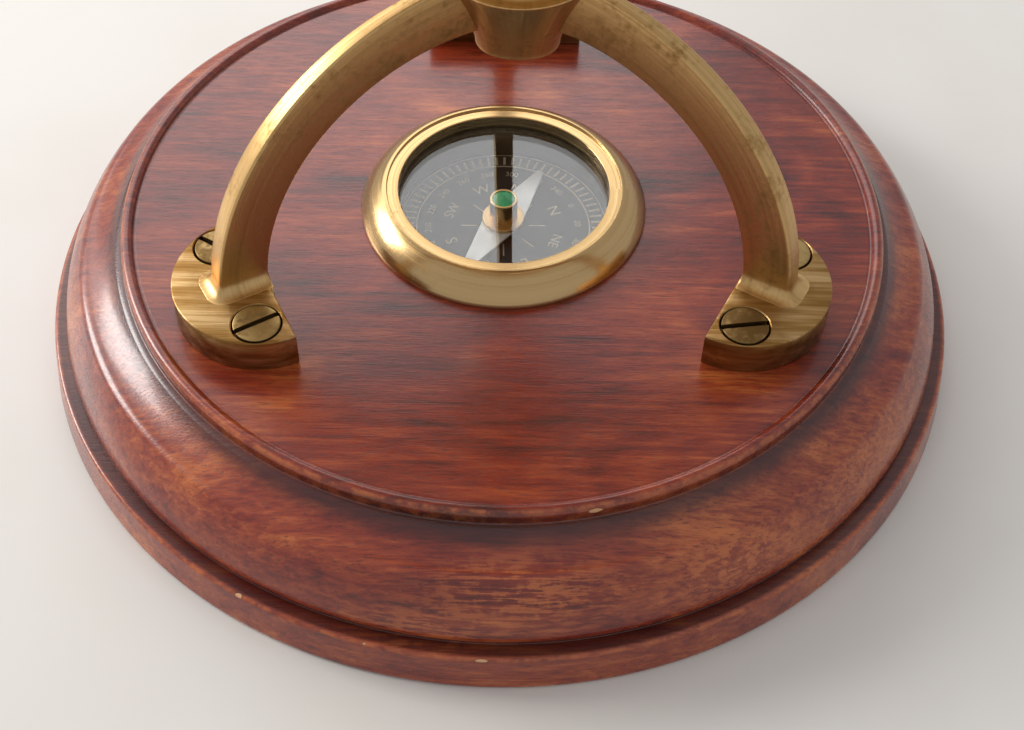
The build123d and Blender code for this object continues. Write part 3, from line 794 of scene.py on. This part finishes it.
@dataclass
class Compass:
    """The compass let into the base: bezel, glass, dial, print, needle and hub, in millimetres."""

    top_height: float = 22.5
    rim_top: float = 26.8
    bezel_radius: float = 22.85
    rim_radius: float = 19.1
    rim_width: float = 0.45
    sill: float = 26.45
    sight_radius: float = 16.8
    glass_radius: float = 17.55
    glass_top: float = 24.45
    dial_top: float = 17.2
    hub_top: float = 23.3
    needle_bottom: float = 18.4
    needle_thickness: float = 0.35
    needle_heading: float = 62.0
    needle_half: tuple = (13.0, 3.2, 0.6)
    hub_radii: tuple = (3.4, 2.25, 1.85)
    hub_step: float = 0.6
    north_heading: float = 24.0
    print_rise: float = 0.03
    print_rings: tuple = ((16.75, 16.9), (14.0, 14.25))
    tick_span: tuple = (14.5, 16.4)
    tick_width: float = 0.42
    ray_span: tuple = (4.2, 6.9)
    ray_width: float = 0.22
    letter_radius: float = 9.0
    number_radius: float = 12.2
    slope_via: tuple = (21.3, 25.2)
    slope_foot: float = 0.5

    def build(self, finish: Finishes) -> None:
        """Makes every piece of the compass."""
        self.build_bezel(finish)
        self.build_dial(finish)
        self.build_needle(finish)
        paint_node("compass_bowl", finish.dial)
        paint_node("compass_dial", finish.dial)
        paint_node("compass_glass", finish.glass)
        paint_node("compass_retainer", finish.spring)
        paint_node("compass_pivot", finish.turned)

    def build_bezel(self, finish: Finishes) -> None:
        """Turns the bezel: a rounded slope, a thin rim, a shallow sill and a straight inner wall."""
        foot = self.bezel_radius, self.top_height + self.slope_foot
        rim = self.rim_radius - self.rim_width
        slope = arc(foot, self.slope_via, (self.rim_radius, self.rim_top), 14)
        inner = softened([(self.rim_radius, self.rim_top, 0), (rim, self.rim_top, 0.1),
                          (rim, self.sill, 0.08), (self.sight_radius, self.sill, 0.15),
                          (self.sight_radius, self.glass_top, 0.05), (self.glass_radius, self.glass_top, 0.05),
                          (self.glass_radius, self.top_height, 0.05),
                          (self.bezel_radius, self.top_height, 0.1), (*foot, 0)], 3)
        sheet = Sheet("bezel")
        lathe(sheet, np.concatenate([slope, inner[1:]]), 256)
        dressed(sheet.made(), finish.polished, "base", ("compass_bezel",))

    def around(self, heading: float, radius: float) -> np.ndarray:
        """A place on the dial at a compass heading, turned so that its top points outwards."""
        angle = self.north_heading - heading
        spot = move_by(radius, 0, self.dial_top + self.print_rise)
        return turn_about("Z", angle) @ spot @ turn_about("Z", -90)

    def build_dial(self, finish: Finishes) -> None:
        """Prints the dial: a ring of ticks, thin rings, short rays, letters and numbers."""
        sheet = Sheet("dial_marks")
        height = self.dial_top + self.print_rise
        a = np.linspace(0, TAU, 144, endpoint=False)
        for span in self.print_rings:
            r = np.array(span)[:, None]
            ring = np.stack([r * np.cos(a), r * np.sin(a), height + 0 * r * a], -1)
            sheet.grid(ring, around=True, flip=True)
        sheet_bars(sheet, np.arange(0, 360, 5.0), self.tick_span, self.tick_width, height)
        rays = self.north_heading + np.arange(22.5, 360, 45.0)
        sheet_bars(sheet, rays, self.ray_span, self.ray_width, height)
        marks = sheet.made(smooth=False)
        words = [(t, 2.0 if len(t) == 1 else 1.7, self.around(h, self.letter_radius)) for t, h in
                 zip(("N", "NE", "E", "SE", "S", "SW", "W", "NW"), range(0, 360, 45))]
        words += [(str(h), 1.1, self.around(h, self.number_radius)) for h in range(0, 360, 20)]
        print_ = joined("dial_marks", [marks, lettering("dial_letters", words)])
        dressed(print_, finish.print, "base")

    def build_needle(self, finish: Finishes) -> None:
        """Makes the lozenge needle, the stepped hub and its enamel."""
        turned = turn_about("Z", self.needle_heading)
        long, wide, tip = self.needle_half
        outline = np.array([(long, -tip), (long, tip), (0, wide), (-long, tip), (-long, -tip), (0, -wide)])
        step = self.needle_bottom + self.needle_thickness
        blade = plate("needle", outline, self.needle_bottom, step, 0.06, turned)
        dressed(crisp(blade), finish.needle, "needle", ("needle_blade",))
        flange, cap, cup = self.hub_radii
        shoulder, top = step + self.hub_step, self.hub_top
        profile = softened([(0, step, 0), (flange, step, 0.05), (flange, shoulder, 0.12),
                            (cap, shoulder, 0.08), (cap, top, 0.15), (cup, top, 0.06),
                            (cup, top - 0.2, 0.04), (0, top - 0.2, 0)], 3)
        sheet = Sheet("needle_cap")
        lathe(sheet, profile, 64)
        dressed(sheet.made(), finish.turned, "needle", ("needle_hub",))
        dome = arc((cup, top - 0.1), (1.0, top - 0.02), (0, top), 6)
        base = np.array([(0, top - 0.25), (cup, top - 0.25)])
        sheet = Sheet("cap_enamel")
        lathe(sheet, np.concatenate([base, dome]), 48)
        dressed(sheet.made(), finish.enamel, "needle", ("hub_enamel",))


def sheet_bars(sheet: Sheet, headings: np.ndarray, span: tuple, width: float, height: float) -> None:
    """Adds flat radial bars at a height: corners (r, +-width / 2) turned by each heading."""
    a = np.radians(headings)[:, None]
    r = np.array([span[0], span[1], span[1], span[0]])
    s = np.array([-1, -1, 1, 1]) * width / 2
    points = np.stack([r * np.cos(a) - s * np.sin(a), r * np.sin(a) + s * np.cos(a), height + 0 * a * r], -1)
    sheet.polygons(points.reshape(-1, 3), np.arange(4 * len(headings)).reshape(-1, 4))


@dataclass(frozen=True)
class Arm:
    """One arm of the bracket: where its foot and leg stand and how its two screws' slots lie.

    Attributes:
        foot_angle: Angle of the foot about the compass.
        foot_distance: Distance of the foot's circle from the compass.
        facing: The way the foot faces.
        leg_angle: Angle of the leg's foot about the compass.
        slots: Headings of the slots of its screws.
    """

    foot_angle: float
    foot_distance: float
    facing: float
    leg_angle: float
    slots: tuple

    def foot(self) -> np.ndarray:
        """Where the middle of the foot's circle is, turned the way the foot faces."""
        spot = turn_about("Z", self.foot_angle) @ move_by(self.foot_distance, 0, 0)
        return move_by(*spot[:3, 3]) @ turn_about("Z", self.facing)


@dataclass
class Tripod:
    """The cast bracket: half-round feet, arched legs and flared boss, with its screws, in millimetres."""

    arms: tuple = (Arm(-30.0, 41.8, -27.0, -27.9, (8.6, 70.0)), Arm(90.6, 41.8, 90.6, 90.6, (20.0, 110.0)),
                   Arm(212.1, 42.4, 206.4, 210.8, (-31.0, 32.0)))
    foot_radius: float = 13.3
    foot_chord: float = -0.6
    foot_bottom: float = 22.5
    foot_top: float = 28.3
    foot_edge: float = 0.22
    leg_distance: float = 41.8
    leg_foot_thickness: float = 3.9
    leg_boss_thickness: float = 1.5
    leg_outer_foot: float = 7.3
    leg_inner_foot: float = -0.35
    leg_root: float = 2.0
    leg_edge: float = 0.4
    arch_outer: tuple = ((0.1, 0.998), (0.75, 0.682))
    arch_inner: tuple = ((0.24, 0.769), (0.77, 0.533))
    boss_shift: float = 1.5
    boss_top: float = 69.8
    boss_top_radius: float = 11.6
    boss_bottom: float = 56.4
    boss_bottom_radius: float = 6.1
    boss_via: tuple = (7.5, 61.8)
    boss_edge: float = 0.6
    boss_crown: float = 0.3
    boss_flat: float = 0.05
    screw_reach: float = 3.75
    screw_spacing: float = 8.5
    screw_radius: float = 3.5
    screw_rise: float = 0.12
    slot_half: float = 0.42
    slot_depth: float = 0.9
    seat_radius: float = 3.75
    seat_chamfer: float = 0.18

    def build(self, finish: Finishes) -> None:
        """Makes the casting and its screws."""
        feet = joined("bracket_feet", [self.foot(arm) for arm in self.arms])
        dressed(crisp(feet), finish.milled, "base")
        legs = joined("bracket_legs", [self.leg(arm) for arm in self.arms])
        dressed(legs, finish.cast, "base", ("tripod_bracket",))
        dressed(self.boss(), finish.filed, "base")
        self.build_screws(finish)

    def boss(self) -> bpy.types.Object:
        """The flared boss, filed a little flat between the legs.

        Its radius at angle a is r(z) * (1 + f(z) * cos(3 * (a - 90))), where f falls from boss_flat at
        the bottom to 0 at the top.
        """
        low, high = self.boss_bottom_radius, self.boss_top_radius
        bottom, top = self.boss_bottom, self.boss_top
        bell = arc((low, bottom + self.boss_edge), self.boss_via, (high, top - self.boss_crown), 24)
        ends = softened([(0, bottom, 0), (low, bottom, self.boss_edge), (low, bottom + self.boss_edge, 0)], 5)
        crown = softened([(high, top - self.boss_crown, 0), (high, top, 0.25),
                          (high - 1.0, top, 0), (0, top, 0)], 4)
        profile = np.concatenate([ends[:-1], bell, crown[1:]])
        a = np.linspace(0, TAU, 192, endpoint=False)
        r, z = profile[:, 0][:, None], profile[:, 1][:, None]
        flat = self.boss_flat * np.clip((top - z) / (top - bottom), 0, 1)
        r = r * (1 + flat * np.cos(3 * (a - np.pi / 2)))
        points = np.stack([r * np.cos(a) + self.boss_shift, r * np.sin(a), z + 0 * a], -1)
        sheet = Sheet("bracket_boss")
        sheet.grid(points, around=True, flip=True)
        return sheet.made()

    def foot(self, arm: Arm) -> bpy.types.Object:
        """A half-round foot, straight towards the compass, with two chamfered screw seats cut into it."""
        limit = np.arccos(self.foot_chord / self.foot_radius)
        a = np.linspace(-limit, limit, 73)
        outline = self.foot_radius * np.stack([np.cos(a), np.sin(a)], 1)
        solid = plate("foot", outline, self.foot_bottom, self.foot_top, self.foot_edge, arm.foot())
        below, above = self.foot_bottom - 1, self.foot_top + 1
        seat, mouth = self.seat_radius, self.seat_radius + self.seat_chamfer
        profile = np.array([(0, below), (seat, below), (seat, self.foot_top - 0.16),
                            (mouth, self.foot_top + 0.02), (mouth, above), (0, above)])
        seats = []
        for spot, _ in self.screws_of(arm):
            sheet = Sheet("seat")
            lathe(sheet, profile, 64, move_by(*spot, 0))
            seats.append(sheet.made(smooth=False))
        return cut_away(solid, seats)

    def screws_of(self, arm: Arm) -> list:
        """Where an arm's two screws stand, each with the heading of its slot."""
        places = [arm.foot() @ move_by(self.screw_reach, side * self.screw_spacing, 0) for side in (-1, 1)]
        return [(place[:2, 3], heading) for place, heading in zip(places, arm.slots)]

    def leg(self, arm: Arm) -> bpy.types.Object:
        """One arched leg as a rounded rectangle carried between two circle arcs.

        Row s joins the inner arc's point I(s) to the outer arc's point O(s). A section point lies at the
        middle plus (h / 2 - r) and (t / 2 - r) towards its corner, plus r along its own angle. The
        thickness t grows evenly with the reach. At a height d above the foot every point but the inner
        face's moves out by R - sqrt(R^2 - (R - d)^2), a hollow root of radius R.
        """
        spot = turn_about("Z", arm.leg_angle) @ move_by(self.leg_distance, 0, 0)
        away = spot[:2, 3] - (self.boss_shift, 0)
        reach, heading = np.hypot(*away), np.degrees(np.arctan2(away[1], away[0]))
        outer, inner = reach + self.leg_outer_foot, reach + self.leg_inner_foot
        shares = np.concatenate([np.linspace(0, 0.93, 90), 1 - 0.07 * np.linspace(1, 0, 40)[1:] ** 2])
        top, under = self.edge(outer, self.arch_outer, shares), self.edge(inner, self.arch_inner, shares)
        across = top - under
        height = np.linalg.norm(across, axis=1)
        across /= height[:, None]
        middle = (top + under) / 2
        growth = self.leg_foot_thickness - self.leg_boss_thickness
        wide = self.leg_boss_thickness + growth * middle[:, 0] / outer
        turns = np.concatenate([np.linspace(0, np.pi / 2, 6) + k * np.pi / 2 for k in range(4)])
        sign_a, sign_b = np.repeat([1, -1, -1, 1], 6), np.repeat([1, 1, -1, -1], 6)
        edge = self.leg_edge
        a = sign_a * (height[:, None] / 2 - edge) + edge * np.cos(turns)
        b = sign_b * (wide[:, None] / 2 - edge) + edge * np.sin(turns)
        flat = middle[:, None] + a[..., None] * across[:, None]
        within = np.clip(self.leg_root - (flat[..., 1] - self.foot_top), 0, self.leg_root)
        root = self.leg_root - np.sqrt(self.leg_root ** 2 - within ** 2)
        b = b + root * np.where(sign_a > 0, np.sin(turns), sign_b)
        x = flat[..., 0] + root * np.where(sign_a > 0, np.cos(turns), 0)
        points = np.stack([x, b, flat[..., 1]], -1)
        place = move_by(self.boss_shift, 0, 0) @ turn_about("Z", heading)
        sheet = Sheet("leg")
        sheet.grid(placed(points.reshape(-1, 3), place).reshape(points.shape), around=True)
        return sheet.made()

    def edge(self, reach: float, shape: tuple, shares: np.ndarray) -> np.ndarray:
        """One edge of a leg, from the boss's axis along its arc to the foot and down into it.

        Args:
            reach: How far from the boss's axis it meets the foot.
            shape: The arc's upper end and a point on it, as shares of the reach and of the boss's height.
            shares: Shares of the arc at which the points lie.

        Returns:
            The points as rows of reach and height.
        """
        rise = self.boss_top - self.foot_top
        end, via = [(share * reach, self.foot_top + up * rise) for share, up in shape]
        line = arc(end, via, (reach, self.foot_top), shares=shares)
        return np.concatenate([[(0, end[1])], line, [(reach, self.foot_bottom + 1.5)]])

    def build_screws(self, finish: Finishes) -> None:
        """Makes the six slotted screws: a countersunk head with two half-discs left by the slot, and a
        near-black sheet of painted shade on each slot's floor.
        """
        heads, slot_shades = [], []
        top, half = self.foot_top + self.screw_rise, self.slot_half
        profile = softened([(0, top - 4.5, 0), (1.6, top - 4.5, 0), (self.screw_radius, top - 1.6, 0.1),
                            (self.screw_radius, top, 0.22), (self.screw_radius - 0.6, top + 0.06, 0),
                            (0, top + 0.06, 0)], 4)
        corner = np.array([(-5, -half), (5, -half), (5, half), (-5, half)])
        for spot, heading in [screw for arm in self.arms for screw in self.screws_of(arm)]:
            sheet = Sheet("head")
            lathe(sheet, profile, 72, move_by(*spot, 0))
            slot = Sheet("slot")
            heights = top - self.slot_depth, top + 1
            ring = np.stack([np.column_stack([corner, np.full(4, z)]) for z in heights])
            place = move_by(*spot, 0) @ turn_about("Z", heading)
            slot.grid(placed(ring.reshape(-1, 3), place).reshape(ring.shape), around=True)
            slot.polygons(placed(ring.reshape(-1, 3), place), np.array([[3, 2, 1, 0], [4, 5, 6, 7]]))
            heads.append(crisp(cut_away(sheet.made(smooth=False), [slot.made(smooth=False)]), 40))
            # Painted shade: a near-black sheet just above each slot's floor stands for the shade deep in the
            # slot.
            floor = Sheet("floor")
            strip = np.column_stack([corner * (0.66, 0.98), np.full(4, top - self.slot_depth + 0.02)])
            floor.polygons(placed(strip, place), np.array([[0, 1, 2, 3]]))
            slot_shades.append(floor.made(smooth=False))
        dressed(joined("screw_heads", heads), finish.screw, "base", ("foot_screws",))
        dressed(joined("screw_slots", slot_shades), finish.slot_dirt, "base")


@dataclass
class Studio:
    """The floor, the lights, the plain surroundings and the camera at the photograph's angle."""

    lens: float = 54.84
    sensor: float = 36.0
    azimuth: float = -0.0122
    elevation: float = 0.8711
    roll: float = 0.0311
    eye: tuple = (-0.00006, -0.18176, 0.19829)
    floor_colours: tuple = ((0.74, 0.71, 0.66), (0.76, 0.735, 0.69))
    sky: tuple = (0.96, 0.97, 1.0, 1)
    sky_strength: float = 0.6

    def build(self) -> None:
        """Makes everything that isn't part of the object."""
        scene = bpy.context.scene
        scene.view_settings.view_transform = "Standard"
        self.build_camera(scene)
        self.build_floor()
        self.build_world(scene)
        self.lamp("window", (-0.42, 0.88, 0.72), (1.25, 0.62), 5.5, (1.0, 0.99, 0.98))
        self.lamp("side", (-0.95, 0.3, 0.5), (0.42, 0.42), 8.5, (1.0, 0.99, 0.97))
        log.info("studio ready")

    def build_camera(self, scene: bpy.types.Scene) -> None:
        """Sets the camera: forward from azimuth and elevation, then rolled about its own axis."""
        sa, ca, se, ce = (f(v) for v in (self.azimuth, self.elevation) for f in (np.sin, np.cos))
        forward = np.array([-sa * ce, ca * ce, -se])
        right = np.array([ca, sa, 0])
        up = np.cross(right, forward)
        right2 = np.cos(self.roll) * right + np.sin(self.roll) * up
        up2 = -np.sin(self.roll) * right + np.cos(self.roll) * up
        data = bpy.data.cameras.new("camera")
        data.lens, data.sensor_width = self.lens, self.sensor
        data.clip_start, data.clip_end = 0.005, 20
        camera = bpy.data.objects.new("camera", data)
        turn = np.eye(4)
        turn[:3, :3] = np.stack([right2, up2, -forward], 1)
        turn[:3, 3] = self.eye
        camera.matrix_world = Matrix(turn)
        scene.collection.objects.link(camera)
        scene.camera = camera

    def build_floor(self) -> None:
        """Makes the pale table top that catches the shadow."""
        sheet = Sheet("table_top")
        r = np.array([0.0, 120, 400, 3000])[:, None]
        a = np.linspace(0, TAU, 48, endpoint=False)
        sheet.grid(np.stack([r * np.cos(a), r * np.sin(a), -0.05 + 0 * r * a], -1), around=True)
        floor = sheet.made(smooth=False)
        n = Nodes.new("table_top")
        speck = n.noise(n.place(), 30, 3, 0.5)
        colour = n.mix(n.between(speck, 0.3, 0.7), *self.floor_colours)
        floor.data.materials.append(n.shader(colour, Roughness=0.35))

    def build_world(self, scene: bpy.types.Scene) -> None:
        """Surrounds the object with soft pale light."""
        world = bpy.data.worlds.new("surroundings")
        world.use_nodes = True
        back = world.node_tree.nodes["Background"]
        back.inputs["Color"].default_value = self.sky
        back.inputs["Strength"].default_value = self.sky_strength
        scene.world = world

    @staticmethod
    def lamp(name: str, spot: tuple, size: tuple, power: float, colour: tuple) -> None:
        """Adds a flat lamp that faces the compass.

        Args:
            name: Name of the lamp.
            spot: Its place, in metres.
            size: Its two sides, in metres.
            power: Its power in watts.
            colour: Its colour.
        """
        data = bpy.data.lights.new(name, "AREA")
        data.shape, data.size, data.size_y = "RECTANGLE", *size
        data.energy, data.color = power, colour
        lamp = bpy.data.objects.new(name, data)
        lamp.location = spot
        lamp.rotation_euler = (Vector((0, 0, 0.02)) - Vector(spot)).to_track_quat("-Z", "Y").to_euler()
        bpy.context.scene.collection.objects.link(lamp)


@dataclass
class Upperworks:
    """The stem, the cradle, the rings and the globe, shown as the CAD's own solids in turned brass.

    Attributes:
        others: CAD nodes in view that another sub-assembly has painted.
    """

    others: tuple = ("base_felt", "compass_bowl", "compass_dial", "compass_glass", "compass_retainer",
                     "compass_pivot")

    def build(self, finish: Finishes) -> None:
        """Paints every node that no piece has replaced and no other sub-assembly has painted."""
        for name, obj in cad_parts.items():
            if not obj.hide_render and name not in self.others:
                paint_node(name, finish.turned)


def main() -> None:
    """Builds the sub-assemblies in order and reports each piece."""
    logging.basicConfig(level=logging.INFO, format="%(name)s %(message)s")
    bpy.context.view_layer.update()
    base = WoodenBase()
    finish = Finishes().build(VarnishedWood(base.bead_radius, base.cove_radius, base.arris_radius,
                                            base.arris_height))
    base.build(finish)
    Compass().build(finish)
    Tripod().build(finish)
    Upperworks().build(finish)
    Studio().build()


if __name__ == "__main__":
    main()
